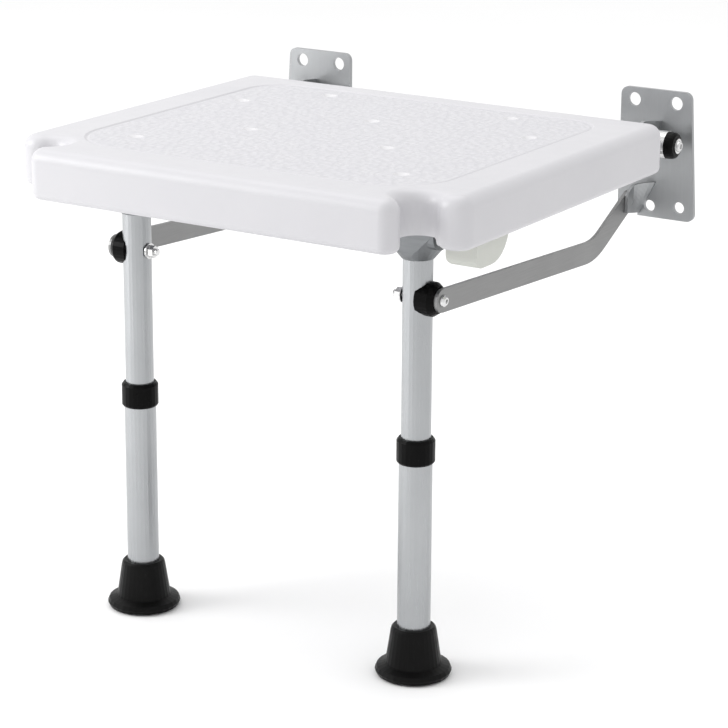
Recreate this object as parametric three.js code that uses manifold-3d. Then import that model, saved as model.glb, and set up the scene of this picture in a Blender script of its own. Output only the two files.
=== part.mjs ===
// Wall-mounted fold-up shower seat with two drop-down, height-adjustable legs.
// Millimetres. +X runs along the wall, +Y points into the wall, +Z is up.
// The floor is z = 0 and the leg centrelines stand in the plane y = 0.

import * as THREE from 'three';
import { mergeVertices } from 'three/addons/utils/BufferGeometryUtils.js';
import Module from 'manifold-3d';

const wasm = await Module();
wasm.setup();

// ---------------------------------------------------------------- driving sizes

const GAP = 0.3;                          // play between neighbouring pieces

const SEAT = { width: 446, front: -104, back: 291, top: 438, thick: 44, corner: 14, rim: 11 };
const SEAT_BOTTOM = SEAT.top - SEAT.thick;
const HOLLOW = { skirt: 28, ceiling: 414.5, corner: 20, notchWall: 7 };
const NOTCH = { radius: 16, x: 184.5, y: -69, frontLip: 12, sideLip: 15.5 };
const ARCH = { radius: 20, height: 7.5, inward: 11.5 };
const GRIP = { side: 42, front: 42, back: 28, frontCorner: 59, backCorner: 38, depth: 0.8 };
const DRAIN_RADIUS = 3;

const LEG_X = 143.5;                      // leg centreline, each side of the middle
const UPPER_TUBE = { radius: 12.7, wall: 1.5, top: 367, bottom: 66 };
const LOWER_TUBE = { radius: 14.3, wall: 1.3, top: 203, bottom: 8 };
const COLLAR = { radius: 16.4, bottom: 191, top: 213 };

// The four pivots of the folding linkage, as { y, z }. They make a parallelogram,
// so the legs stay upright while the seat folds.
const LEG_LINK = { y: -8, z: 59 };        // from the arm bolt up to the leg head pivot
const ARM_BOLT = { y: 0, z: 334 };
const SEAT_HINGE = { y: 325, z: 411 };
const LEG_PIVOT = { y: ARM_BOLT.y + LEG_LINK.y, z: ARM_BOLT.z + LEG_LINK.z };
const ARM_PIVOT = { y: SEAT_HINGE.y - LEG_LINK.y, z: SEAT_HINGE.z - LEG_LINK.z };

const FRONT_TUBE = { radius: 11, wall: 1.5, halfLength: 194 };
const REAR_TUBE = { radius: 12.7, wall: 1.5, halfLength: 209.9 };

// The plate's outer edge leans out towards the bottom.
const PLATE = {
  inner: 147.5, outerTop: 218, outerBottom: 224.5, bottom: 335.5, top: 454.5, face: 352, thick: 4, corner: 7,
};
// Screw holes as x, z, radius.
const PLATE_HOLES = [[161, 443.5, 6.3], [203, 443.5, 6.3], [180, 346, 5.4], [209.5, 347.5, 5.4]];

const ARM = { inner: 164.6, thick: 3.2, width: 20 };
const ARM_KNEE = { y: 268, z: 319, radius: 62 };
const EAR_THICK = 3;
const ARM_EAR_EDGE = { ahead: 8, below: 9, above: 8 };     // free edge, measured from the arm pivot
const HINGE_EAR_RADIUS = 19;
const PIN_RADIUS = 3;

const BLOCK = {
  inner: 183, outer: 212, wall: 4.5, bottom: 371, length: 52, nose: 9, edge: 8, heel: 29, toe: 8,
};
const REAR_BLOCK = { inner: 92, outer: 120, boss: 17, foot: 9, length: 50 };

const ROUND = 24;                         // facets round a tube
const ROUND_SMALL = 12;                   // facets round a fastener

// ---------------------------------------------------------------- materials

const METAL = { roughness: 0.38, metalness: 0.9 };
const MATERIALS = {
  seat: { color: '#ecebf1', roughness: 0.5, metalness: 0 },
  tube: { color: '#aeb6bb', ...METAL },
  arm: { color: '#8f9492', ...METAL },
  plate: { color: '#a3a8ac', ...METAL },
  head: { color: '#7d868a', ...METAL },
  ivory: { color: '#c6c9bd', roughness: 0.55, metalness: 0 },
  black: { color: '#0e0f10', roughness: 0.5, metalness: 0 },
  rubber: { color: '#1a1b1c', roughness: 0.8, metalness: 0 },
  steel: { color: '#c9ccce', roughness: 0.22, metalness: 1 },
};

// ---------------------------------------------------------------- solid helpers

// Closed solid from a geometry: welds its vertices, drops slivers and turns it the
// right way out.
function solid(geometry) {
  const plain = new THREE.BufferGeometry();
  plain.setAttribute('position', geometry.getAttribute('position').clone());
  if (geometry.index) plain.setIndex(geometry.index.clone());
  const merged = mergeVertices(plain, 1e-4);
  const triangles = [];
  for (let i = 0; i < merged.index.count; i += 3) {
    const [a, b, c] = [0, 1, 2].map((k) => merged.index.getX(i + k));
    if (a !== b && b !== c && c !== a) triangles.push([a, b, c]);
  }
  const weld = (list) => new wasm.Manifold(new wasm.Mesh({
    numProp: 3,
    vertProperties: Float32Array.from(merged.getAttribute('position').array),
    triVerts: Uint32Array.from(list.flat()),
  }));
  const body = weld(triangles);
  return body.volume() > 0 ? body : weld(triangles.map(([a, b, c]) => [a, c, b]));
}

function toGeometry(manifold) {
  const mesh = manifold.getMesh();
  const geometry = new THREE.BufferGeometry();
  geometry.setAttribute('position', new THREE.BufferAttribute(Float32Array.from(mesh.vertProperties), 3));
  geometry.setIndex(new THREE.BufferAttribute(Uint32Array.from(mesh.triVerts), 1));
  geometry.computeVertexNormals();
  return geometry;
}

// Turned solid about X through (y, z). The profile is a list of [x, radius] that
// starts and ends on the axis, or closes on itself for a ring.
function turnedX(profile, at, facets = ROUND) {
  const points = profile.map(([x, radius]) => new THREE.Vector2(radius, -x));
  const lathe = new THREE.LatheGeometry(points, facets);
  lathe.rotateZ(Math.PI / 2);
  lathe.translate(0, at.y, at.z);
  return solid(lathe);
}

// Turned solid about the vertical through (x, y), from a list of [z, radius].
function turnedZ(profile, x, y, facets = ROUND) {
  const points = profile.map(([z, radius]) => new THREE.Vector2(radius, z));
  const lathe = new THREE.LatheGeometry(points, facets);
  lathe.rotateX(Math.PI / 2);
  lathe.translate(x, y, 0);
  return solid(lathe);
}

const rodX = (x0, x1, radius, at, facets = ROUND) =>
  turnedX([[x0, 0], [x0, radius], [x1, radius], [x1, 0]], at, facets);

const rodZ = (z0, z1, radius, x, y, facets = ROUND) =>
  turnedZ([[z0, 0], [z0, radius], [z1, radius], [z1, 0]], x, y, facets);

function box(x0, x1, y0, y1, z0, z1) {
  const geometry = new THREE.BoxGeometry(x1 - x0, y1 - y0, z1 - z0);
  geometry.translate((x0 + x1) / 2, (y0 + y1) / 2, (z0 + z1) / 2);
  return solid(geometry);
}

function extrudeUp(shape, z0, z1, curveSegments = 8) {
  const geometry = new THREE.ExtrudeGeometry(shape, { depth: z1 - z0, bevelEnabled: false, curveSegments });
  geometry.translate(0, 0, z0);
  return solid(geometry);
}

// Extrudes an outline drawn in (y, z) along +X.
function extrudeAlongX(shape, x0, x1, curveSegments = 10) {
  const geometry = new THREE.ExtrudeGeometry(shape, { depth: x1 - x0, bevelEnabled: false, curveSegments });
  geometry.applyMatrix4(new THREE.Matrix4().set(0, 0, 1, x0, 1, 0, 0, 0, 0, 1, 0, 0, 0, 0, 0, 1));
  return solid(geometry);
}

// Extrudes an outline drawn in (x, z) along +Y.
function extrudeAlongY(shape, y0, y1, curveSegments = 8) {
  const geometry = new THREE.ExtrudeGeometry(shape, { depth: y1 - y0, bevelEnabled: false, curveSegments });
  geometry.applyMatrix4(new THREE.Matrix4().set(1, 0, 0, 0, 0, 0, -1, y1, 0, 1, 0, 0, 0, 0, 0, 1));
  return solid(geometry);
}

// The two corners at y1 may have a radius of their own.
function roundedRectangle(x0, x1, y0, y1, radius, backRadius = radius) {
  const shape = new THREE.Shape();
  shape.moveTo(x0 + radius, y0);
  shape.lineTo(x1 - radius, y0);
  shape.absarc(x1 - radius, y0 + radius, radius, -Math.PI / 2, 0);
  shape.lineTo(x1, y1 - backRadius);
  shape.absarc(x1 - backRadius, y1 - backRadius, backRadius, 0, Math.PI / 2);
  shape.lineTo(x0 + backRadius, y1);
  shape.absarc(x0 + backRadius, y1 - backRadius, backRadius, Math.PI / 2, Math.PI);
  shape.lineTo(x0, y0 + radius);
  shape.absarc(x0 + radius, y0 + radius, radius, Math.PI, 1.5 * Math.PI);
  return shape;
}

// Mirrors a right-hand solid to the other side of the middle plane.
const mirrored = (manifold, side) => (side > 0 ? manifold : manifold.mirror([1, 0, 0]));

const ring = (x0, x1, outer, inner, at, facets = ROUND) =>
  rodX(x0, x1, outer, at, facets).subtract(rodX(x0 - 1, x1 + 1, inner, at, facets));

// ---------------------------------------------------------------- seat body

// Half of the seat outline, from the middle of the front edge round to the middle
// of the back. A rounded notch runs diagonally into the front corner, and a lip
// turns each of its flanks into the outer edge.
function seatOutline() {
  const half = SEAT.width / 2;
  const { x, y, radius, frontLip, sideLip } = NOTCH;
  const quarter = Math.PI / 4;
  const frontCentre = {
    x: x + (y - SEAT.front - frontLip) - Math.SQRT2 * (radius + frontLip),
    y: SEAT.front + frontLip,
  };
  const sideCentre = {
    x: half - sideLip,
    y: y - (half - sideLip - x) + Math.SQRT2 * (radius + sideLip),
  };
  const right = new THREE.Shape();
  right.moveTo(0, SEAT.front);
  right.lineTo(frontCentre.x, SEAT.front);
  right.absarc(frontCentre.x, frontCentre.y, frontLip, -2 * quarter, quarter, false);
  right.absarc(x, y, radius, -3 * quarter, quarter, true);
  right.absarc(sideCentre.x, sideCentre.y, sideLip, -3 * quarter, 0, false);
  right.lineTo(half, SEAT.back - SEAT.corner);
  right.absarc(half - SEAT.corner, SEAT.back - SEAT.corner, SEAT.corner, 0, 2 * quarter, false);
  right.lineTo(0, SEAT.back);
  return right;
}

function seatShape() {
  const half = spaced(seatOutline().getPoints(6));
  const whole = [...half, ...half.slice(1, -1).reverse().map((p) => new THREE.Vector2(-p.x, p.y))];
  return new THREE.Shape(whole);
}

// Drops points that repeat the one before them.
const spaced = (points) => points.filter((p, i) => i === 0 || p.distanceTo(points[i - 1]) > 0.01);

function seatPanel() {
  const rim = SEAT.rim;
  const geometry = new THREE.ExtrudeGeometry(seatShape(), {
    depth: SEAT.thick - 2 * rim,
    bevelThickness: rim,
    bevelSize: rim - 1,
    bevelOffset: -(rim - 1),
    bevelSegments: 3,
  });
  geometry.translate(0, 0, SEAT_BOTTOM + rim);
  let body = solid(geometry);
  body = body.subtract(hollow());
  const half = SEAT.width / 2 - GRIP.side;
  const grip = roundedRectangle(
    -half, half, SEAT.front + GRIP.front, SEAT.back - GRIP.back, GRIP.frontCorner, GRIP.backCorner);
  body = body.subtract(extrudeUp(grip, SEAT.top - GRIP.depth, SEAT.top + 1, 6));
  for (const [x, y] of drainHoles()) {
    body = body.subtract(rodZ(HOLLOW.ceiling - 1, SEAT.top + 1, DRAIN_RADIUS, x, y, 12));
  }
  for (const side of [-1, 1]) {
    body = body.subtract(notchArch(side));
  }
  return body;
}

// The underside is hollow inside a skirt; the hollow keeps clear of both notches.
function hollow() {
  const half = SEAT.width / 2 - HOLLOW.skirt;
  const y0 = SEAT.front + HOLLOW.skirt;
  const y1 = SEAT.back - HOLLOW.skirt;
  const shape = roundedRectangle(-half, half, y0, y1, HOLLOW.corner);
  let space = extrudeUp(shape, SEAT_BOTTOM - 1, HOLLOW.ceiling);
  const keep = NOTCH.radius + HOLLOW.notchWall;
  const [z0, z1] = [SEAT_BOTTOM - 2, HOLLOW.ceiling + 1];
  const flank = box(0, HOLLOW.skirt * 2, -keep, keep, z0, z1)
    .rotate([0, 0, -45])
    .translate([NOTCH.x, NOTCH.y, 0]);
  for (const side of [-1, 1]) {
    space = space.subtract(rodZ(z0, z1, keep, side * NOTCH.x, NOTCH.y)).subtract(mirrored(flank, side));
  }
  return space;
}

// At the inner end of a notch the panel's lower edge is arched up.
function notchArch(side) {
  const { radius, height, inward } = ARCH;
  return rodZ(SEAT_BOTTOM - 1, SEAT_BOTTOM + height, radius, side * (NOTCH.x - inward), NOTCH.y + inward);
}

// Two symmetric rows across the seat and a middle pair, all inside the grip area.
function drainHoles() {
  const holes = [[0, 157]];
  for (const side of [-1, 1]) {
    holes.push([side * 134, -12], [side * 70, 68], [side * 150, 172], [side * 96, 236]);
  }
  return holes;
}

const tubeX = (tube, at) =>
  ring(-tube.halfLength, tube.halfLength, tube.radius, tube.radius - tube.wall, at);

// Front bearing block: carries the end of the front tube and screws up into the skirt.
// Seen from the side its nose is rounded and its heel sweeps up; seen from the front
// its inner lower edge is rounded off.
function frontBlock() {
  const { inner, outer, wall, bottom, length, nose, edge } = BLOCK;
  const top = SEAT_BOTTOM - GAP;
  const y0 = LEG_PIVOT.y - FRONT_TUBE.radius - wall;
  const profile = new THREE.Shape();
  profile.moveTo(y0, top);
  profile.lineTo(y0, bottom + nose);
  profile.quadraticCurveTo(y0, bottom, y0 + nose, bottom);
  profile.lineTo(y0 + length - BLOCK.heel, bottom);
  profile.quadraticCurveTo(y0 + length - BLOCK.toe, bottom, y0 + length, top);
  const face = new THREE.Shape();
  face.moveTo(inner, top);
  face.lineTo(inner, bottom + edge);
  face.quadraticCurveTo(inner, bottom, inner + edge, bottom);
  face.lineTo(outer, bottom - 1);
  face.lineTo(outer, top);
  let block = extrudeAlongX(profile, inner, outer, 6)
    .intersect(extrudeAlongY(face, y0 - 1, y0 + length + 1, 5));
  block = block.subtract(rodX(inner - 1, FRONT_TUBE.halfLength + GAP, FRONT_TUBE.radius + GAP, LEG_PIVOT));
  for (const screw of frontScrewPlaces()) {
    block = block.subtract(screwCut(screw, bottom));
  }
  return block;
}

const frontScrewPlaces = () => [
  { x: BLOCK.inner + 7, y: LEG_PIVOT.y + 17, from: BLOCK.bottom + 5 },
  { x: BLOCK.outer - 6, y: LEG_PIVOT.y + 17, from: BLOCK.bottom + 5 },
];

// Rear hinge block: its foot screws under the back skirt, its boss grips the rear tube.
function rearBlock() {
  const { boss, foot, length } = REAR_BLOCK;
  const outline = new THREE.Shape();
  const y0 = SEAT.back - length;
  const bottom = SEAT_BOTTOM - foot;
  outline.moveTo(y0, SEAT_BOTTOM - GAP);
  outline.lineTo(y0, bottom + 3);
  outline.quadraticCurveTo(y0, bottom, y0 + 4, bottom);
  outline.lineTo(SEAT_HINGE.y - 18, bottom);
  const bossFoot = SEAT_HINGE.z - Math.sqrt(boss * boss - 16);
  outline.quadraticCurveTo(SEAT_HINGE.y - 4, bottom, SEAT_HINGE.y + 4, bossFoot);
  outline.absarc(SEAT_HINGE.y, SEAT_HINGE.z, boss, -1.33, Math.PI, false);
  outline.lineTo(SEAT_HINGE.y - boss, SEAT_BOTTOM + 8);
  outline.quadraticCurveTo(SEAT_HINGE.y - boss, SEAT_BOTTOM - GAP, SEAT.back - 2, SEAT_BOTTOM - GAP);
  let block = extrudeAlongX(outline, REAR_BLOCK.inner, REAR_BLOCK.outer, 8);
  const bore = REAR_TUBE.radius + GAP / 2;
  block = block.subtract(rodX(REAR_BLOCK.inner - 1, REAR_BLOCK.outer + 1, bore, SEAT_HINGE));
  for (const screw of rearScrewPlaces()) {
    block = block.subtract(screwCut(screw, bottom));
  }
  return block;
}

const rearScrewPlaces = () => [8, REAR_BLOCK.outer - REAR_BLOCK.inner - 8].map((dx) => ({
  x: REAR_BLOCK.inner + dx,
  y: SEAT.back - REAR_BLOCK.length + 13,
  from: SEAT_BOTTOM - REAR_BLOCK.foot + 3.5,
}));

const SCREW = { shank: 2, head: 4, headHeight: 2.6, grip: 11 };

function screwCut(screw, bottom) {
  const hole = rodZ(bottom - 1, SEAT_BOTTOM + 1, SCREW.shank + GAP, screw.x, screw.y, ROUND_SMALL);
  const bore = rodZ(bottom - 1, screw.from, SCREW.head + GAP, screw.x, screw.y, ROUND_SMALL);
  return hole.add(bore);
}

// Pan-head screw, head down, driven up through a block into the seat skirt.
function blockScrew(screw) {
  const { shank, head, headHeight } = SCREW;
  const z0 = screw.from - headHeight;
  const tip = SEAT_BOTTOM - GAP - 0.2;
  return turnedZ([
    [z0 + 1.2, 0], [z0 + 1.2, 1.4], [z0, 1.6], [z0, head - 1], [z0 + 1, head],
    [screw.from - GAP / 2, head], [screw.from - GAP / 2, shank], [tip, shank], [tip, 0],
  ], screw.x, screw.y, ROUND_SMALL);
}

const CAP = { radius: 12.4, length: 8, bore: 3.3, washer: 6.9, washerThick: 1.2 };

// Black cap that closes the end of the rear tube.
function hingeCap() {
  const { radius, length, bore } = CAP;
  const x0 = REAR_TUBE.halfLength + GAP;
  return turnedX([
    [x0, bore], [x0, radius], [x0 + 5, radius - 0.4], [x0 + 7, radius - 1.2], [x0 + length, radius - 2.6],
    [x0 + length, bore], [x0, bore],
  ], SEAT_HINGE);
}

function hingeWasher() {
  const x0 = REAR_TUBE.halfLength + GAP + CAP.length + GAP / 2;
  return ring(x0, x0 + CAP.washerThick, CAP.washer, CAP.bore, SEAT_HINGE, 24);
}

// Socket screw that holds the cap; it bites in the plug inside the tube.
function hingeScrew() {
  const seat = REAR_TUBE.halfLength + CAP.length + 2 * GAP + CAP.washerThick;
  const shank = CAP.bore - 0.4;
  return turnedX([
    [seat - 22, 0], [seat - 22, shank], [seat, shank], [seat, 5], [seat + 1.4, 4.7], [seat + 2.2, 3.8],
    [seat + 2.2, 2.4], [seat + 0.6, 2.4], [seat + 0.6, 0],
  ], SEAT_HINGE, 18);
}

function tubePlug() {
  const end = REAR_TUBE.halfLength;
  return ring(end - 20, end, REAR_TUBE.radius - REAR_TUBE.wall - GAP / 2, 3.1, SEAT_HINGE, 24);
}

// ---------------------------------------------------------------- wall plates

// A lug formed out of the plate: it leaves the plate along a slanted root line and
// eases into a flat tongue square to X, whose free edge is given by tip(t) from the
// bottom, t = 0, to the top, t = 1. The tongue's top edge bulges up by crown.
function formedEar({ x: tongueX, root, tip, crown = 0 }) {
  const rows = 7;
  const columns = 8;
  const half = EAR_THICK / 2;
  const front = [];
  const back = [];
  for (let row = 0; row <= rows; row += 1) {
    const t = row / rows;
    const end = tip(t);
    const rootX = THREE.MathUtils.lerp(root.bottom.x, root.top.x, t);
    const rootZ = THREE.MathUtils.lerp(root.bottom.z, root.top.z, t);
    for (let column = 0; column <= columns; column += 1) {
      const s = column / columns;
      const ease = THREE.MathUtils.smoothstep(s, 0, root.blend);
      const x = THREE.MathUtils.lerp(rootX, tongueX, ease);
      const y = THREE.MathUtils.lerp(PLATE.face + PLATE.thick / 2, end.y, s);
      const z = THREE.MathUtils.lerp(rootZ, end.z, s) + 4 * crown * t * s * (1 - s);
      front.push([x + half, y, z]);
      back.push([x - half, y, z]);
    }
  }
  return sheetSolid(front, back, rows, columns);
}

// Closes two matching point grids into one solid sheet.
function sheetSolid(front, back, rows, columns) {
  const stride = columns + 1;
  const count = front.length;
  const index = [];
  const quad = (a, b, c, d) => index.push(a, b, c, a, c, d);
  for (let row = 0; row < rows; row += 1) {
    for (let column = 0; column < columns; column += 1) {
      const a = row * stride + column;
      quad(a, a + stride, a + stride + 1, a + 1);
      quad(count + a, count + a + 1, count + a + stride + 1, count + a + stride);
    }
  }
  for (let row = 0; row < rows; row += 1) {
    const a = row * stride;
    const b = a + columns;
    quad(a, count + a, count + a + stride, a + stride);
    quad(b, b + stride, count + b + stride, count + b);
  }
  for (let column = 0; column < columns; column += 1) {
    const a = column;
    const b = rows * stride + column;
    quad(a, a + 1, count + a + 1, count + a);
    quad(b, count + b, count + b + 1, b + 1);
  }
  const geometry = new THREE.BufferGeometry();
  geometry.setAttribute('position', new THREE.Float32BufferAttribute([...front, ...back].flat(), 3));
  geometry.setIndex(index);
  return solid(geometry);
}

// The lower ear is the folded corner of the plate, with a straight free edge.
const LOWER_EAR = {
  x: ARM.inner + ARM.thick + GAP + EAR_THICK / 2,
  root: { bottom: { x: 169, z: 338 }, top: { x: 185, z: 368 }, blend: 0.7 },
  tip: (t) => ({
    y: ARM_PIVOT.y - ARM_EAR_EDGE.ahead,
    z: ARM_PIVOT.z + THREE.MathUtils.lerp(-ARM_EAR_EDGE.below, ARM_EAR_EDGE.above, t),
  }),
  crown: 4,
};

// The upper ear ends in an arc about the seat hinge.
const UPPER_EAR = {
  x: 184,
  root: { bottom: { x: 178, z: 386 }, top: { x: 188, z: 426 }, blend: 0.85 },
  tip: (t) => {
    const angle = THREE.MathUtils.degToRad(THREE.MathUtils.lerp(-88, 88, t));
    return {
      y: SEAT_HINGE.y - HINGE_EAR_RADIUS * Math.cos(angle),
      z: SEAT_HINGE.z + HINGE_EAR_RADIUS * Math.sin(angle),
    };
  },
};

// The plate's outline, right-hand side.
function plateShape() {
  const { inner, outerTop, outerBottom, bottom, top, corner } = PLATE;
  const lean = Math.atan((outerBottom - outerTop) / (top - bottom));
  const shape = new THREE.Shape();
  shape.absarc(inner + corner, bottom + corner, corner, -Math.PI, -Math.PI / 2);
  shape.absarc(outerBottom - corner, bottom + corner, corner, -Math.PI / 2, lean);
  shape.absarc(outerTop - corner, top - corner, corner, lean, Math.PI / 2);
  shape.absarc(inner + corner, top - corner, corner, Math.PI / 2, Math.PI);
  return shape;
}

function wallPlate() {
  const { face, thick } = PLATE;
  let plate = extrudeAlongY(plateShape(), face, face + thick, 4);
  plate = plate.subtract(foldedCorner());
  for (const ear of [LOWER_EAR, UPPER_EAR]) {
    plate = plate.add(formedEar(ear));
  }
  for (const [x, z, radius] of PLATE_HOLES) {
    const hole = new THREE.Shape().absarc(x, z, radius, 0, 2 * Math.PI);
    plate = plate.subtract(extrudeAlongY(hole, face - 1, face + thick + 1, 10));
  }
  const pinBore = PIN_RADIUS + GAP / 2;
  plate = plate.subtract(rodX(LOWER_EAR.x - 5, LOWER_EAR.x + 5, pinBore, ARM_PIVOT, ROUND_SMALL));
  plate = plate.subtract(rodX(UPPER_EAR.x - 5, UPPER_EAR.x + 5, REAR_TUBE.radius + GAP, SEAT_HINGE));
  return plate;
}

// The lower inner corner of the plate, which became the lower ear.
function foldedCorner() {
  const { bottom, top } = LOWER_EAR.root;
  const shape = new THREE.Shape();
  shape.moveTo(PLATE.inner - 1, PLATE.bottom - 1);
  shape.lineTo(bottom.x - 1, PLATE.bottom - 1);
  shape.lineTo(bottom.x - 1, bottom.z);
  shape.lineTo(top.x - 2, top.z - 3);
  shape.quadraticCurveTo(top.x - 16, top.z - 5, top.x - 27, top.z - 22);
  shape.quadraticCurveTo(top.x - 30, top.z - 27, PLATE.inner - 1, top.z - 28);
  return extrudeAlongY(shape, PLATE.face - 1, PLATE.face + PLATE.thick + 1);
}

// Rivet-like pivot pin: pressed flush into the ear, its head holds the arm.
function armPin() {
  const end = LOWER_EAR.x + EAR_THICK / 2;
  const shoulder = ARM.inner - GAP;
  return turnedX([
    [shoulder - 2.6, 0], [shoulder - 2.6, 3], [shoulder - 1.6, 5.2], [shoulder, 6],
    [shoulder, PIN_RADIUS], [end, PIN_RADIUS], [end, 0],
  ], ARM_PIVOT, ROUND_SMALL);
}

// ---------------------------------------------------------------- arms

// Cranked flat bar in the plane square to X: nearly level from the leg, then a
// gentle knee, then rising to the wall pivot.
function armBar() {
  const half = ARM.width / 2;
  const path = armCentreline();
  const left = [];
  const right = [];
  path.forEach((point, i) => {
    const before = path[Math.max(i - 1, 0)];
    const after = path[Math.min(i + 1, path.length - 1)];
    const heading = Math.atan2(after.y - before.y, after.x - before.x);
    left.push(new THREE.Vector2(point.x - half * Math.sin(heading), point.y + half * Math.cos(heading)));
    right.push(new THREE.Vector2(point.x + half * Math.sin(heading), point.y - half * Math.cos(heading)));
  });
  const outline = new THREE.Shape([...right, ...left.reverse()]);
  const x1 = ARM.inner + ARM.thick;
  let bar = extrudeAlongX(outline, ARM.inner, x1);
  for (const end of [ARM_BOLT, ARM_PIVOT]) {
    bar = bar.add(rodX(ARM.inner, x1, half, end));
  }
  for (const end of [ARM_BOLT, ARM_PIVOT]) {
    bar = bar.subtract(rodX(ARM.inner - 1, x1 + 1, PIN_RADIUS + GAP, end, ROUND_SMALL));
  }
  return bar;
}

function armCentreline() {
  const start = new THREE.Vector2(ARM_BOLT.y, ARM_BOLT.z);
  const knee = new THREE.Vector2(ARM_KNEE.y, ARM_KNEE.z);
  const end = new THREE.Vector2(ARM_PIVOT.y, ARM_PIVOT.z);
  const into = knee.clone().sub(start).normalize();
  const out = end.clone().sub(knee).normalize();
  const turn = Math.acos(into.dot(out));
  const trim = ARM_KNEE.radius * Math.tan(turn / 2);
  const bend = new THREE.QuadraticBezierCurve(
    knee.clone().addScaledVector(into, -trim), knee, knee.clone().addScaledVector(out, trim));
  return [start, ...bend.getPoints(8), end];
}

// ---------------------------------------------------------------- legs

const HEAD = { sleeve: 14.6, halfLength: 27, neck: 13.9, plug: 22 };

// T-shaped head: its sleeve turns on the front tube, a flared web runs down from the
// sleeve to a round neck, and a plug below it fills the leg's end.
function legHead() {
  const { sleeve, halfLength, plug } = HEAD;
  const top = UPPER_TUBE.top;
  const inner = UPPER_TUBE.radius - UPPER_TUBE.wall - GAP / 2;
  return rodX(LEG_X - halfLength, LEG_X + halfLength, sleeve, LEG_PIVOT)
    .add(headWeb())
    .add(rodZ(top - plug, LEG_PIVOT.z, inner, LEG_X, 0))
    .subtract(rodX(LEG_X - halfLength - 1, LEG_X + halfLength + 1, FRONT_TUBE.radius + GAP, LEG_PIVOT));
}

// The web is what is common to its outline from the front, its outline from the side
// and a cone that rounds it into the neck.
function headWeb() {
  const { sleeve, halfLength, neck } = HEAD;
  const low = UPPER_TUBE.top + GAP;
  const high = LEG_PIVOT.z;
  const front = new THREE.Shape();
  front.moveTo(LEG_X - halfLength, high);
  front.lineTo(LEG_X - halfLength, high - 11);
  front.quadraticCurveTo(LEG_X - neck - 4, low + 3, LEG_X - neck, low);
  front.lineTo(LEG_X + neck, low);
  front.quadraticCurveTo(LEG_X + neck + 4, low + 3, LEG_X + halfLength, high - 11);
  front.lineTo(LEG_X + halfLength, high);
  const side = new THREE.Shape();
  side.moveTo(LEG_PIVOT.y - sleeve, high);
  side.quadraticCurveTo(LEG_PIVOT.y - sleeve + 1, low + 8, -neck, low);
  side.lineTo(neck, low);
  side.quadraticCurveTo(neck - 2, low + 8, LEG_PIVOT.y + sleeve, high);
  const cone = turnedZ([[low, 0], [low, neck], [high, halfLength + 8], [high, 0]], LEG_X, 0);
  return extrudeAlongY(front, -2 * sleeve, 2 * sleeve)
    .intersect(extrudeAlongX(side, LEG_X - halfLength - 1, LEG_X + halfLength + 1, 8))
    .intersect(cone);
}

const boltHole = (x0, x1) => rodX(x0, x1, PIN_RADIUS + GAP, ARM_BOLT, ROUND_SMALL);

function upperTube() {
  const { radius, wall, top, bottom } = UPPER_TUBE;
  let tube = rodZ(bottom, top, radius, LEG_X, 0);
  tube = tube.subtract(rodZ(bottom - 1, top + 1, radius - wall, LEG_X, 0));
  tube = tube.subtract(boltHole(LEG_X - 20, LEG_X + 20));
  return tube.subtract(buttonHole(BUTTON.z));
}

const BUTTON = { radius: 3.4, z: 80, pitch: 15, steps: 6, proud: 3.6 };

// Hole through the back wall of a leg tube at height z.
function buttonHole(z) {
  const hole = new THREE.Shape().absarc(LEG_X, z, BUTTON.radius + GAP, 0, 2 * Math.PI);
  return extrudeAlongY(hole, 5, 20, 8);
}

function lowerTube() {
  const { radius, wall, top, bottom } = LOWER_TUBE;
  let tube = rodZ(bottom, top, radius, LEG_X, 0);
  tube = tube.subtract(rodZ(bottom - 1, top + 1, radius - wall, LEG_X, 0));
  for (let step = 0; step <= BUTTON.steps; step += 1) {
    tube = tube.subtract(buttonHole(BUTTON.z + step * BUTTON.pitch));
  }
  return tube;
}

// Guide collar: slips over the lower tube's end and centres the upper tube.
function guideCollar() {
  const { radius, bottom, top } = COLLAR;
  const fit = LOWER_TUBE.radius + GAP / 2;
  const guide = UPPER_TUBE.radius + GAP;
  return turnedZ([
    [bottom, fit], [bottom, radius - 1.2], [bottom + 1.5, radius], [top - 2.5, radius], [top, radius - 1.8],
    [top, guide], [LOWER_TUBE.top + GAP, guide], [LOWER_TUBE.top + GAP, fit], [bottom, fit],
  ], LEG_X, 0);
}

// Rubber foot: a tapered boot on a wide rounded disc, with a socket for the tube.
function rubberFoot() {
  const bore = LOWER_TUBE.radius + GAP / 2;
  return turnedZ([
    [0, 0], [0, 28], [1.5, 31.5], [5, 33], [8.5, 31.5], [10, 27], [11, 24.2], [40, 19.8],
    [43, 19], [44.5, 17.5], [44.5, bore], [7.5, bore], [7.5, 0],
  ], LEG_X, 0, 32);
}

// Sprung button that locks the lower tube; it points to the wall.
function snapButton() {
  const base = UPPER_TUBE.radius - UPPER_TUBE.wall - 2.2;
  const tip = LOWER_TUBE.radius + BUTTON.proud;
  const profile = [[0, 0], [0, 4.6], [0.8, 4.6], [0.8, BUTTON.radius], [tip - base - 2.4, BUTTON.radius],
    [tip - base - 0.9, 2.5], [tip - base, 1.1], [tip - base, 0]];
  return turnedZ(profile, 0, 0, ROUND_SMALL).rotate([-90, 0, 0]).translate([LEG_X, base, BUTTON.z]);
}

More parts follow.
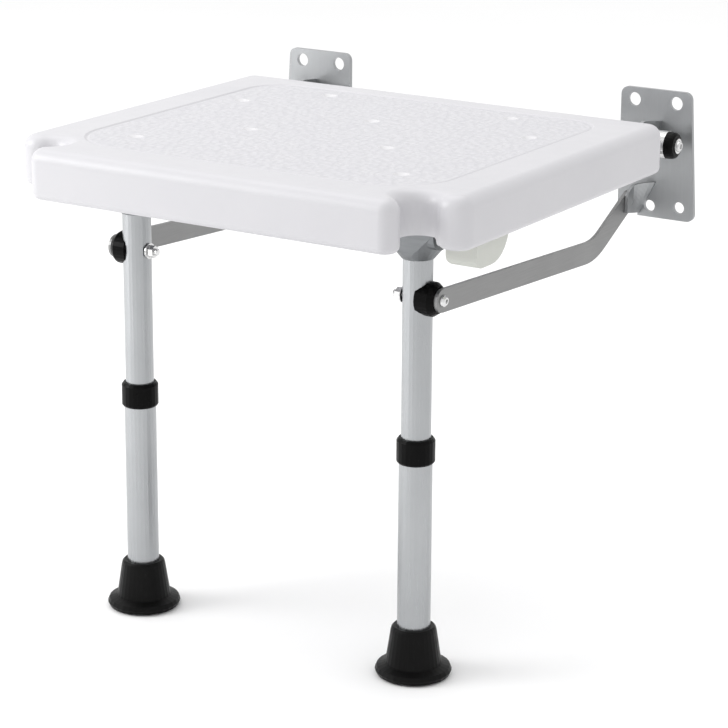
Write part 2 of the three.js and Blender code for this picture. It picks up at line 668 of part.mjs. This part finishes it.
// Folded leaf spring inside the tube, pressing the button outwards.
function buttonSpring() {
  const outline = new THREE.Shape();
  const reach = UPPER_TUBE.radius - UPPER_TUBE.wall - 2.6;
  outline.moveTo(reach, BUTTON.z + 6);
  outline.lineTo(reach, BUTTON.z - 4);
  outline.quadraticCurveTo(reach, BUTTON.z - 12, 0, BUTTON.z - 12);
  outline.quadraticCurveTo(-reach, BUTTON.z - 12, -reach, BUTTON.z - 2);
  outline.lineTo(-reach, BUTTON.z + 8);
  outline.lineTo(-reach + 0.8, BUTTON.z + 8);
  outline.lineTo(-reach + 0.8, BUTTON.z - 2);
  outline.quadraticCurveTo(-reach + 0.8, BUTTON.z - 11.2, 0, BUTTON.z - 11.2);
  outline.quadraticCurveTo(reach - 0.8, BUTTON.z - 11.2, reach - 0.8, BUTTON.z - 4);
  outline.lineTo(reach - 0.8, BUTTON.z + 6);
  return extrudeAlongX(outline, LEG_X - 3.5, LEG_X + 3.5, 6);
}

// Saddle spacer between the leg tube and the arm.
function saddleSpacer() {
  const x1 = ARM.inner - GAP;
  return turnedX([
    [LEG_X + 4.5, 0], [LEG_X + 4.5, 14.6], [x1 - 4.5, 14.6], [x1, 11.5], [x1, 0],
  ], ARM_BOLT)
    .subtract(rodZ(ARM_BOLT.z - 30, ARM_BOLT.z + 30, UPPER_TUBE.radius + GAP / 2, LEG_X, 0))
    .subtract(boltHole(LEG_X - 20, x1 + 1));
}

// Button-head bolt through arm, spacer and leg.
function armBolt() {
  const x1 = ARM.inner + ARM.thick + GAP;
  const start = LEG_X - 23;
  return turnedX([
    [start, 0], [start, 2.2], [start + 0.8, PIN_RADIUS], [x1, PIN_RADIUS], [x1, 5.2], [x1 + 1.3, 4.8],
    [x1 + 3, 3.2], [x1 + 3, 1.8], [x1 + 1.2, 1.8], [x1 + 1.2, 0],
  ], ARM_BOLT, 20);
}

function boltWasher() {
  const x1 = LEG_X - UPPER_TUBE.radius - GAP;
  return ring(x1 - 1.2, x1, 7, PIN_RADIUS + GAP, ARM_BOLT, 24);
}

function boltNut() {
  const x1 = LEG_X - UPPER_TUBE.radius - GAP - 1.2 - GAP;
  return rodX(x1 - 5, x1, 5.6, ARM_BOLT, 6)
    .subtract(rodX(x1 - 6, x1 + 1, PIN_RADIUS + GAP / 2, ARM_BOLT, ROUND_SMALL));
}

// ---------------------------------------------------------------- assembly

const group = new THREE.Group();
group.name = 'shower_seat';

function addNode(name, manifold, material) {
  const mesh = new THREE.Mesh(toGeometry(manifold), new THREE.MeshStandardMaterial(MATERIALS[material]));
  mesh.name = name;
  mesh.material.name = `${name}_material`;
  group.add(mesh);
}

// Adds a right-hand piece and its mirror image.
function addPair(name, manifold, material) {
  addNode(`${name}_right`, manifold, material);
  addNode(`${name}_left`, mirrored(manifold, -1), material);
}

addNode('seat_panel', seatPanel(), 'seat');
addNode('front_tube', tubeX(FRONT_TUBE, LEG_PIVOT), 'tube');
addNode('rear_tube', tubeX(REAR_TUBE, SEAT_HINGE), 'steel');
addPair('front_block', frontBlock(), 'ivory');
addPair('rear_block', rearBlock(), 'ivory');
frontScrewPlaces().forEach((screw, i) => addPair(`front_block_screw_${i + 1}`, blockScrew(screw), 'steel'));
rearScrewPlaces().forEach((screw, i) => addPair(`rear_block_screw_${i + 1}`, blockScrew(screw), 'steel'));
addPair('hinge_cap', hingeCap(), 'black');
addPair('hinge_washer', hingeWasher(), 'steel');
addPair('hinge_screw', hingeScrew(), 'steel');
addPair('tube_plug', tubePlug(), 'black');
addPair('wall_plate', wallPlate(), 'plate');
addPair('arm_pin', armPin(), 'steel');
addPair('arm', armBar(), 'arm');
addPair('leg_head', legHead(), 'head');
addPair('upper_tube', upperTube(), 'tube');
addPair('saddle_spacer', saddleSpacer(), 'black');
addPair('arm_bolt', armBolt(), 'steel');
addPair('bolt_washer', boltWasher(), 'steel');
addPair('bolt_nut', boltNut(), 'steel');
addPair('button_spring', buttonSpring(), 'steel');
addPair('snap_button', snapButton(), 'steel');
addPair('lower_tube', lowerTube(), 'tube');
addPair('guide_collar', guideCollar(), 'black');
addPair('rubber_foot', rubberFoot(), 'rubber');

// Puts the origin on the floor, under the middle of the whole object.
group.position.y = -(SEAT.front + PLATE.face + PLATE.thick) / 2;

export default group;
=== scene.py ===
"""Wall-mounted fold-up shower seat: materials, moulded seat panel, camera and light."""

import math

import bpy
from mathutils import Matrix, Vector
from mathutils.geometry import tessellate_polygon


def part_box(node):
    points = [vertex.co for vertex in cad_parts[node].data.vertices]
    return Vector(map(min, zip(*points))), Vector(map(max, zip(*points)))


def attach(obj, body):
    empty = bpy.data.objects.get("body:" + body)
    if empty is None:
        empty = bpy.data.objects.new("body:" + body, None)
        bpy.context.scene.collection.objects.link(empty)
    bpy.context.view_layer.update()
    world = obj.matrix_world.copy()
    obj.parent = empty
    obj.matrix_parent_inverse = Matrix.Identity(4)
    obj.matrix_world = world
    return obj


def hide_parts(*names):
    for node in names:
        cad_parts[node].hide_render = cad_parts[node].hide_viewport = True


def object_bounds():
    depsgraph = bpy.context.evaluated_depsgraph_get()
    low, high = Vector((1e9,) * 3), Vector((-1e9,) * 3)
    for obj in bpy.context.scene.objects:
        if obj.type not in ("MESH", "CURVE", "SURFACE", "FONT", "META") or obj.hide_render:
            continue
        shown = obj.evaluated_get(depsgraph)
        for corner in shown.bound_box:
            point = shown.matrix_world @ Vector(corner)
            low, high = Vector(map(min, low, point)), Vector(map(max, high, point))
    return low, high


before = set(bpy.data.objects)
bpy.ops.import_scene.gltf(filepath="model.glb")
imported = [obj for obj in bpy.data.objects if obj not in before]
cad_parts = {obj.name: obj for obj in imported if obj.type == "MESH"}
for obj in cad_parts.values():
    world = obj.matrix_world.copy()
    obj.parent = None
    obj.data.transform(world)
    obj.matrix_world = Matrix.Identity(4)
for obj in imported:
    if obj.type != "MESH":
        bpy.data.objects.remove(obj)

CAD_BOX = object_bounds()
MM = 0.001
WORLD_STRENGTH = 0.98

# ------------------------------------------------------------- node helpers


class Nodes:
    """A material's node tree, with one short call for each kind of link."""

    def __init__(self, name):
        self.material = bpy.data.materials.new(name)
        self.material.use_nodes = True
        self.tree = self.material.node_tree
        self.tree.nodes.clear()
        self.shader = self.add("ShaderNodeBsdfPrincipled")
        output = self.add("ShaderNodeOutputMaterial")
        self.link(self.shader.outputs["BSDF"], output.inputs["Surface"])
        self.place = self.add("ShaderNodeTexCoord").outputs["Object"]

    def add(self, kind, **settings):
        node = self.tree.nodes.new(kind)
        for key, value in settings.items():
            setattr(node, key, value)
        return node

    def link(self, source, target):
        self.tree.links.new(source, target)

    def stretched(self, scale):
        """Object coordinates scaled differently along each axis."""
        mapping = self.add("ShaderNodeMapping")
        mapping.inputs["Scale"].default_value = scale
        self.link(self.place, mapping.inputs["Vector"])
        return mapping.outputs["Vector"]

    def noise(self, scale, detail=3.0, place=None):
        node = self.add("ShaderNodeTexNoise")
        node.inputs["Scale"].default_value = scale
        node.inputs["Detail"].default_value = detail
        self.link(place or self.place, node.inputs["Vector"])
        return node.outputs["Fac"]

    def ramp(self, factor, low, high, start=0.0, end=1.0):
        """Colour or grey between two ends of a factor."""
        node = self.add("ShaderNodeValToRGB")
        stops = node.color_ramp.elements
        for stop, position, value in zip(stops, (start, end), (low, high)):
            stop.position = position
            stop.color = (*value, 1) if isinstance(value, tuple) else (value, value, value, 1)
        self.link(factor, node.inputs["Fac"])
        return node.outputs["Color"]

    def bump(self, height, strength, distance, after=None):
        node = self.add("ShaderNodeBump")
        node.inputs["Strength"].default_value = strength
        node.inputs["Distance"].default_value = distance
        self.link(height, node.inputs["Height"])
        if after:
            self.link(after, node.inputs["Normal"])
        return node.outputs["Normal"]


def finish(nodes, colour, roughness, normal, metallic=0.0, specular=0.5):
    """Joins the surface inputs to the shader and returns the material."""
    shader = nodes.shader
    nodes.link(colour, shader.inputs["Base Color"])
    nodes.link(roughness, shader.inputs["Roughness"])
    nodes.link(normal, shader.inputs["Normal"])
    shader.inputs["Metallic"].default_value = metallic
    shader.inputs["Specular IOR Level"].default_value = specular
    return nodes.material


# ------------------------------------------------------------- materials


def moulded_white(name, dark=(0.535, 0.53, 0.552), light=(0.56, 0.555, 0.574), rough=0.37):
    """Slightly lavender white plastic with a fine moulded grain."""
    nodes = Nodes(name)
    colour = nodes.ramp(nodes.noise(9.0, 4.0), dark, light, 0.3, 0.7)
    roughness = nodes.ramp(nodes.noise(60.0), rough - 0.04, rough + 0.05, 0.3, 0.7)
    normal = nodes.bump(nodes.noise(420.0, 2.0), 0.12, 0.0002)
    return finish(nodes, colour, roughness, normal)


def scaled_white(name):
    """The same plastic under small soft scales, with painted shade: the colour darkens towards the rim
    of each scale, following the pattern that drives the bump.
    """
    nodes = Nodes(name)
    scales = nodes.add("ShaderNodeTexVoronoi", feature="SMOOTH_F1")
    scales.inputs["Scale"].default_value = 185.0
    scales.inputs["Randomness"].default_value = 0.9
    scales.inputs["Smoothness"].default_value = 0.3
    nodes.link(nodes.stretched((1.0, 0.75, 1.0)), scales.inputs["Vector"])
    height = scales.outputs["Distance"]
    # Painted shade: the colour gets darker with distance from each scale's centre, the same pattern the
    # bump uses.
    colour = nodes.ramp(height, (0.565, 0.56, 0.58), (0.525, 0.52, 0.545), 0.1, 0.75)
    roughness = nodes.ramp(nodes.noise(60.0), 0.36, 0.46, 0.3, 0.7)
    normal = nodes.bump(nodes.noise(500.0, 2.0), 0.15, 0.0002)
    return finish(nodes, colour, roughness, nodes.bump(height, 0.55, 0.0020, normal))


def satin_metal(name, light, dark, rough, grain_scale, streak):
    """Anodised or brushed metal: fine grain along one direction, faint cloudiness."""
    nodes = Nodes(name)
    grain = nodes.noise(grain_scale, 5.0, nodes.stretched(streak))
    colour = nodes.ramp(nodes.noise(18.0, 3.0), dark, light, 0.3, 0.7)
    roughness = nodes.ramp(grain, rough - 0.05, rough + 0.06, 0.3, 0.7)
    normal = nodes.bump(grain, 0.06, 0.0001)
    return finish(nodes, colour, roughness, normal, metallic=1.0)


def moulded_plastic(name, light, dark, rough, bump=0.15, scale=900.0, specular=0.5):
    """Moulded plastic or rubber with a fine grain and slight colour drift."""
    nodes = Nodes(name)
    colour = nodes.ramp(nodes.noise(25.0, 3.0), dark, light, 0.3, 0.7)
    roughness = nodes.ramp(nodes.noise(140.0), rough - 0.06, rough + 0.06, 0.3, 0.7)
    normal = nodes.bump(nodes.noise(scale, 2.0), bump, 0.00015)
    return finish(nodes, colour, roughness, normal, specular=specular)


SEAT_SMOOTH = moulded_white("seat_smooth")
SEAT_TEXTURED = scaled_white("seat_textured")
# Painted highlight: the drain dishes are the seat's own plastic, given a brighter colour to stand in for
# the sheen on their glossy surface; their lower roughness is real.
SEAT_DRAIN_PAINTED_HIGHLIGHT = moulded_white("seat_drain_painted_highlight", (0.60, 0.595, 0.61), (0.64, 0.635, 0.65), 0.2)


def grey(value, blue=0.0):
    """A grey, cooler by as much as blue says."""
    return (value - blue, value, value + blue)


# Grain drawn out along X, Y or Z; the smaller the scale, the longer the streaks.
ALONG_X = (0.05, 1, 1)
ALONG_Y = (1, 0.03, 1)
ALONG_Z = (1, 1, 0.05)
DRAWN_TUBE = (1, 1, 0.02)

FINISHES = {
    "tube": satin_metal("tube_satin", grey(0.415, 0.010), grey(0.385, 0.010), 0.30, 900, DRAWN_TUBE),
    "arm": satin_metal("arm_satin", grey(0.275), grey(0.255), 0.42, 900, ALONG_Y),
    "plate": satin_metal("plate_satin", grey(0.40, 0.008), grey(0.37, 0.008), 0.46, 700, ALONG_Z),
    "head": satin_metal("head_satin", grey(0.26, 0.009), grey(0.235, 0.009), 0.50, 800, ALONG_X),
    "polished": satin_metal("polished_steel", grey(0.72), grey(0.66), 0.17, 600, ALONG_X),
    "ivory": moulded_plastic("ivory_plastic", (0.56, 0.57, 0.53), (0.53, 0.54, 0.50), 0.46),
    "black": moulded_plastic("black_plastic", (0.003, 0.003, 0.003), (0.002, 0.002, 0.002), 0.33,
                             specular=0.07),
    "rubber": moulded_plastic("black_rubber", (0.004, 0.004, 0.004), (0.002, 0.002, 0.002), 0.36,
                              0.25, 600, specular=0.10),
}

# Which finish each CAD node wears, by the start of its name.
NODE_FINISH = {
    "front_tube": "tube", "rear_tube": "polished", "upper_tube": "tube", "lower_tube": "tube",
    "front_block_screw": "polished", "rear_block_screw": "polished",
    "front_block": "ivory", "rear_block": "ivory",
    "hinge_cap": "black", "tube_plug": "black", "hinge_washer": "polished", "hinge_screw": "polished",
    "wall_plate": "plate", "arm_pin": "plate", "arm_bolt": "polished", "arm": "arm",
    "leg_head": "head", "saddle_spacer": "black", "guide_collar": "black", "rubber_foot": "rubber",
    "bolt_washer": "polished", "bolt_nut": "polished", "button_spring": "polished",
    "snap_button": "polished", "seat_panel": None,
}

# Width of the rounded edges in mm, for the nodes that need more than a fine one.
EDGE_WIDTH = {"front_block": 1.6, "rear_block": 1.6, "arm": 0.7, "wall_plate": 1.0, "saddle_spacer": 0.8}
FINE_EDGE = 0.35
SHARP_ANGLE = math.radians(38)


def best_match(name, table):
    """The longest key of the table that the name starts with."""
    starts = [key for key in table if name.startswith(key)]
    return max(starts, key=len) if starts else None


def dress_cad_nodes():
    """Gives each CAD node its material, rounded edges and smooth shading."""
    for name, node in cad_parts.items():
        key = best_match(name, NODE_FINISH)
        if key == "seat_panel":
            continue
        node.data.materials.clear()
        node.data.materials.append(FINISHES[NODE_FINISH[key]])
        for polygon in node.data.polygons:
            polygon.use_smooth = True
        bevel = node.modifiers.new("edges", "BEVEL")
        bevel.width = EDGE_WIDTH.get(key, FINE_EDGE) * MM
        bevel.segments = 3
        bevel.limit_method = "ANGLE"
        bevel.angle_limit = SHARP_ANGLE
        bevel.use_clamp_overlap = True
        normals = node.modifiers.new("normals", "WEIGHTED_NORMAL")
        normals.keep_sharp = False


# ------------------------------------------------------------- seat panel

LOW, HIGH = (Vector(corner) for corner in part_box("seat_panel"))
RIM = 11 * MM                   # fillet round the top edge
FOOT = 6 * MM                   # fillet round the bottom edge
NOTCH_RADIUS = 16 * MM
FRONT_LIP = 12 * MM             # radii that turn the notch into the outer edge
SIDE_LIP = 15.5 * MM
CORNER_RADIUS = 14 * MM
NOTCH = Vector((HIGH.x - 38.5 * MM, LOW.y + 35 * MM))
ARCH_RADIUS = 20 * MM           # the lower edge is arched up at each notch's inner end
ARCH_HEIGHT = 7.5 * MM
ARCH_INWARD = 11.5 * MM
SKIRT = 28 * MM                 # from the outer edge to the hollow
SKIRT_WALL = 9 * MM             # wall left round a notch
HOLLOW_CORNER = 20 * MM
CEILING = LOW.z + 20.5 * MM
FIELD_SIDE = 42 * MM            # from the outer edge to the textured field
FIELD_FRONT = 42 * MM
FIELD_BACK = 28 * MM
FIELD_FRONT_CORNER = 59 * MM
FIELD_BACK_CORNER = 38 * MM
ARC_STEP = math.radians(5)
LONGEST_EDGE = 14 * MM
SAME_POINT = 0.02 * MM
SMOOTH_SLOT, FIELD_SLOT, DRAIN_SLOT = range(3)

# The rest are in mm. Profiles are (inset, height) or (radius, height) pairs.
FIELD_DEPTH = 0.4
DRAIN_HOLE = 2.3
GROOVE = [(0.0, 0.0), (0.5, -0.12), (1.2, -0.9), (2.2, -1.15), (3.2, -0.9), (4.0, -0.45),
          (4.8, -FIELD_DEPTH)]
DRAIN_DISH = [(7.0, 0.0), (6.5, -0.25), (5.4, -1.0), (4.2, -1.7), (3.2, -2.1), (DRAIN_HOLE, -2.4)]
# The flat collar at a drain's lower end keeps the shading of the ceiling even.
DRAIN_FOOT = [(DRAIN_HOLE, 0.6), (2.6, 0.1), (3.1, 0.0), (4.6, 0.0)]
# The middle drain's distance from the back edge, then for each mirrored pair its
# distances from the middle and from the back edge.
MIDDLE_DRAIN = 134
DRAIN_PAIRS = [(134, 303), (70, 223), (150, 119), (96, 55)]


def arc(centre, radius, start, end):
    """Points on an arc from start to end degrees, in whichever turn that is."""
    start, end = math.radians(start), math.radians(end)
    count = max(2, round(abs(end - start) / ARC_STEP))
    turns = [start + (end - start) * i / count for i in range(count + 1)]
    x, y = centre
    return [Vector((x + radius * math.cos(a), y + radius * math.sin(a))) for a in turns]


def circle(centre, radius):
    """Points round a whole circle, each once."""
    return arc(centre, radius, 0, 360)[:-1]


def mirrored_loop(right_half):
    """Closes a right-hand outline, front to back, with its mirror image."""
    left_half = [Vector((-p.x, p.y)) for p in reversed(right_half)]
    return tidy_loop(right_half + left_half)


def tidy_loop(points):
    """Drops repeated points and splits long straight runs."""
    kept = [p for i, p in enumerate(points) if (p - points[i - 1]).length > SAME_POINT]
    loop = []
    for i, point in enumerate(kept):
        following = kept[(i + 1) % len(kept)]
        pieces = max(1, math.ceil((following - point).length / LONGEST_EDGE))
        loop += [point.lerp(following, k / pieces) for k in range(pieces)]
    return loop


def seat_outline():
    """Plan of the panel: each front corner has a rounded notch cut in diagonally."""
    root = math.sqrt(2)
    front_y = LOW.y + FRONT_LIP
    front_x = NOTCH.x + (NOTCH.y - front_y) - root * (NOTCH_RADIUS + FRONT_LIP)
    front_lip = Vector((front_x, front_y))
    side_x = HIGH.x - SIDE_LIP
    side_y = NOTCH.y - (side_x - NOTCH.x) + root * (NOTCH_RADIUS + SIDE_LIP)
    side_lip = Vector((side_x, side_y))
    back = Vector((HIGH.x - CORNER_RADIUS, HIGH.y - CORNER_RADIUS))
    return mirrored_loop(
        arc(front_lip, FRONT_LIP, -90, 45)
        + arc(NOTCH, NOTCH_RADIUS, 225, 45)
        + arc(side_lip, SIDE_LIP, -135, 0)
        + arc(back, CORNER_RADIUS, 0, 90)
    )


def hollow_outline():
    """Plan of the space under the panel, which keeps a wall round both notches."""
    keep = NOTCH_RADIUS + SKIRT_WALL
    side = HIGH.x - SKIRT
    front = LOW.y + SKIRT
    # The arc starts where it meets the front wall and ends where it meets the side wall.
    start = 180 - math.degrees(math.asin((front - NOTCH.y) / keep))
    end = math.degrees(math.acos((side - NOTCH.x) / keep))
    back = Vector((side - HOLLOW_CORNER, HIGH.y - SKIRT - HOLLOW_CORNER))
    return mirrored_loop(arc(NOTCH, keep, start, end) + arc(back, HOLLOW_CORNER, 0, 90))


def field_outline():
    """Plan of the textured sitting area, whose front corners swing wide of the notches."""
    half = HIGH.x - FIELD_SIDE
    front = (half - FIELD_FRONT_CORNER, LOW.y + FIELD_FRONT + FIELD_FRONT_CORNER)
    back = (half - FIELD_BACK_CORNER, HIGH.y - FIELD_BACK - FIELD_BACK_CORNER)
    return mirrored_loop(
        arc(front, FIELD_FRONT_CORNER, -90, 0)
        + arc(back, FIELD_BACK_CORNER, 0, 90)
    )


def inset(loop, distance):
    """Moves a counter-clockwise outline inwards along its own normals."""
    moved = []
    for i, point in enumerate(loop):
        tangent = loop[(i + 1) % len(loop)] - loop[i - 1]
        normal = Vector((tangent.y, -tangent.x)).normalized()
        moved.append(point - normal * distance)
    return moved


class Shell:
    """Collects rings and fills them into one closed mesh."""

    def __init__(self):
        self.points = []
        self.faces = []
        self.slots = []

    def ring(self, loop, z):
        """Adds a loop at one height and returns its point numbers."""
        start = len(self.points)
        self.points += [Vector((p.x, p.y, z)) for p in loop]
        return list(range(start, start + len(loop)))

    def add_face(self, face, slot):
        self.faces.append(face)
        self.slots.append(slot)

    def bridge(self, lower, upper, flip=False, slot=SMOOTH_SLOT):
        """Joins two rings of the same length with a band of faces."""
        count = len(lower)
        for i in range(count):
            j = (i + 1) % count
            face = [lower[i], lower[j], upper[j], upper[i]]
            self.add_face(face[::-1] if flip else face, slot)

    def bridge_all(self, rings, flip=False, slot=SMOOTH_SLOT):
        """Joins each ring to the next."""
        for ring, following in zip(rings, rings[1:]):
            self.bridge(ring, following, flip, slot)

    def fill(self, outer, holes=(), up=True, slot=SMOOTH_SLOT):
        """Closes a ring, less the rings of its holes, with flat triangles."""
        rings = [outer, *holes]
        indices = [i for ring in rings for i in ring]
        flat = [[Vector((self.points[i].x, self.points[i].y, 0)) for i in ring] for ring in rings]
        for triangle in tessellate_polygon(flat):
            face = [indices[i] for i in triangle]
            a, b, c = (self.points[i] for i in face)
            if ((b - a).cross(c - a).z > 0) != up:
                face.reverse()
            self.add_face(face, slot)

    def build(self, name, materials):
        mesh = bpy.data.meshes.new(name)
        mesh.from_pydata(self.points, [], self.faces)
        for material in materials:
            mesh.materials.append(material)
        for polygon, slot in zip(mesh.polygons, self.slots):
            polygon.use_smooth = True
            polygon.material_index = slot
        mesh.validate()
        obj = bpy.data.objects.new(name, mesh)
        bpy.context.scene.collection.objects.link(obj)
        return obj


def fillet(radius, start, end, steps=7):
    """(inset, height) pairs round a quarter circle of the rim."""
    for i in range(steps + 1):
        a = math.radians(start + (end - start) * i / steps)
        yield radius * (1 - math.cos(a)), radius * math.sin(a)


def drain_places():
    """Drains lie in mirrored pairs, with one in the middle."""
    places = [(0.0, HIGH.y - MIDDLE_DRAIN * MM)]
    for x, from_back in DRAIN_PAIRS:
        places += [(side * x * MM, HIGH.y - from_back * MM) for side in (-1, 1)]
    return places


def drain(shell, place, field_height):
    """A shallow dish with a hole through the panel; returns its top and bottom rings."""
    rings = [shell.ring(circle(place, r * MM), field_height + h * MM) for r, h in DRAIN_DISH]
    rings += [shell.ring(circle(place, r * MM), CEILING + h * MM) for r, h in DRAIN_FOOT]
    shell.bridge_all(rings, slot=DRAIN_SLOT)
    return rings[0], rings[-1]


def arch_tool(side):
    """A short round post with a softened top, the shape of one arch."""
    cutter = Shell()
    centre = (side * (NOTCH.x - ARCH_INWARD), NOTCH.y + ARCH_INWARD)
    plan = circle(centre, ARCH_RADIUS)
    top = LOW.z + ARCH_HEIGHT
    profile = [(0.0, LOW.z - MM), (0.0, top - 2 * MM), (0.6 * MM, top - 0.6 * MM), (2 * MM, top)]
    rings = [cutter.ring(inset(plan, d), z) for d, z in profile]
    cutter.bridge_all(rings)
    cutter.fill(rings[0], up=False)
    cutter.fill(rings[-1])
    return cutter.build("arch_tool", [SEAT_SMOOTH])


def raise_lower_edge(panel):
    """Cuts the arch in the panel's lower edge at the inner end of each notch."""
    for side in (-1, 1):
        tool = arch_tool(side)
        cut = panel.modifiers.new("arch", "BOOLEAN")
        cut.operation = "DIFFERENCE"
        cut.solver = "EXACT"
        cut.object = tool
        apply_modifiers(panel)
        bpy.data.objects.remove(tool)


def apply_modifiers(obj):
    """Bakes an object's modifiers into its mesh."""
    graph = bpy.context.evaluated_depsgraph_get()
    mesh = bpy.data.meshes.new_from_object(obj.evaluated_get(graph))
    obj.modifiers.clear()
    obj.data = mesh


def rim(shell):
    """The panel's outer wall; returns its lowest and highest rings."""
    outline = seat_outline()
    profile = [(d, LOW.z + FOOT - h) for d, h in fillet(FOOT, 90, 0)]
    profile += [(d, HIGH.z - RIM + h) for d, h in fillet(RIM, 0, 90)]
    rings = [shell.ring(inset(outline, d), z) for d, z in profile]
    shell.bridge_all(rings)
    return rings[0], rings[-1]


def groove(shell):
    """The rounded groove that sets the field below the rim; returns its outer and inner rings."""
    field = field_outline()
    rings = [shell.ring(inset(field, d * MM), HIGH.z + h * MM) for d, h in GROOVE]
    shell.bridge_all(rings)
    return rings[0], rings[-1]


def hollow_walls(shell):
    """The hollow's walls from the foot of the skirt; returns the lowest and highest rings."""
    hollow = hollow_outline()
    foot = [(-1.2, LOW.z), (-0.3, LOW.z + 0.4 * MM), (0.0, LOW.z + 1.4 * MM)]
    head = [(0.0, CEILING - 3 * MM), (0.9, CEILING - 0.9 * MM), (3.0, CEILING), (5.0, CEILING)]
    rings = [shell.ring(inset(hollow, d * MM), z) for d, z in foot + head]
    shell.bridge_all(rings, flip=True)
    return rings[0], rings[-1]


def seat_shell():
    """The moulded panel: rim, groove, textured field with drains, and the hollow below."""
    shell = Shell()
    rim_foot, rim_top = rim(shell)
    groove_outer, groove_inner = groove(shell)
    shell.fill(rim_top, [groove_outer])
    drains = [drain(shell, place, HIGH.z - FIELD_DEPTH * MM) for place in drain_places()]
    shell.fill(groove_inner, [top for top, _ in drains], slot=FIELD_SLOT)
    skirt_foot, ceiling_edge = hollow_walls(shell)
    shell.fill(rim_foot, [skirt_foot], up=False)
    shell.fill(ceiling_edge, [bottom for _, bottom in drains], up=False)
    obj = shell.build("seat_shell", [SEAT_SMOOTH, SEAT_TEXTURED, SEAT_DRAIN_PAINTED_HIGHLIGHT])
    raise_lower_edge(obj)
    normals = obj.modifiers.new("normals", "WEIGHTED_NORMAL")
    normals.keep_sharp = False
    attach(obj, "seat")
    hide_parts("seat_panel")


# ------------------------------------------------------------- stage, light, camera


def floor():
    """A plain pale floor of matt paper."""
    size = 6.0
    mesh = bpy.data.meshes.new("floor")
    corners = [(-size, -size, 0), (size, -size, 0), (size, size, 0), (-size, size, 0)]
    mesh.from_pydata(corners, [], [(0, 1, 2, 3)])
    obj = bpy.data.objects.new("floor", mesh)
    bpy.context.scene.collection.objects.link(obj)
    nodes = Nodes("floor_paper")
    colour = nodes.ramp(nodes.noise(2.0), (0.93, 0.93, 0.93), (0.96, 0.96, 0.96))
    roughness = nodes.ramp(nodes.noise(40.0), 0.85, 0.95)
    finish(nodes, colour, roughness, nodes.bump(nodes.noise(300.0), 0.03, 0.0001))
    mesh.materials.append(nodes.material)


def area_light(name, place, target, size, power):
    """A rectangular softbox at a place, turned to face its target."""
    data = bpy.data.lights.new(name, "AREA")
    data.shape = "RECTANGLE"
    data.size, data.size_y = size
    data.energy = power
    obj = bpy.data.objects.new(name, data)
    obj.location = place
    obj.rotation_euler = (Vector(target) - Vector(place)).to_track_quat("-Z", "Y").to_euler()
    bpy.context.scene.collection.objects.link(obj)


def lights():
    """An even pale surround, a softbox high on the left, one overhead and one on the floor."""
    world = bpy.data.worlds.new("studio")
    world.use_nodes = True
    background = world.node_tree.nodes["Background"]
    background.inputs["Color"].default_value = (1, 1, 1, 1)
    background.inputs["Strength"].default_value = WORLD_STRENGTH
    bpy.context.scene.world = world
    middle = (0, 0, 0.3)
    area_light("key", (-2.0, -1.9, 1.9), middle, (1.4, 1.6), 17)
    area_light("overhead", (-0.3, 0.3, 2.6), middle, (2.2, 2.2), 20)
    area_light("floor_wash", (-1.5, -1.1, 0.9), (-1.1, -0.7, 0), (1.0, 1.0), 14)


def camera():
    """Right of the front, slightly above, through a long lens."""
    data = bpy.data.cameras.new("camera")
    data.sensor_width = 36
    data.lens = 127.7
    data.shift_x = 0.0154
    data.shift_y = -0.0025
    data.clip_end = 50
    obj = bpy.data.objects.new("camera", data)
    middle_y = (CAD_BOX[0][1] + CAD_BOX[1][1]) / 2
    place = Vector((1.1935, middle_y - 1.8779, 0.8921))
    yaw, pitch, roll = math.radians(32.421), math.radians(16.75), math.radians(-0.272)
    turn = Matrix.Rotation(yaw, 4, "Z") @ Matrix.Rotation(math.pi / 2 - pitch, 4, "X")
    turn = turn @ Matrix.Rotation(-roll, 4, "Z")
    obj.matrix_world = Matrix.Translation(place) @ turn
    bpy.context.scene.collection.objects.link(obj)
    bpy.context.scene.camera = obj


def view_settings():
    """Plain colours, with no film look."""
    scene = bpy.context.scene
    scene.view_settings.view_transform = "Standard"
    scene.view_settings.look = "None"


dress_cad_nodes()
seat_shell()
floor()
lights()
camera()
view_settings()
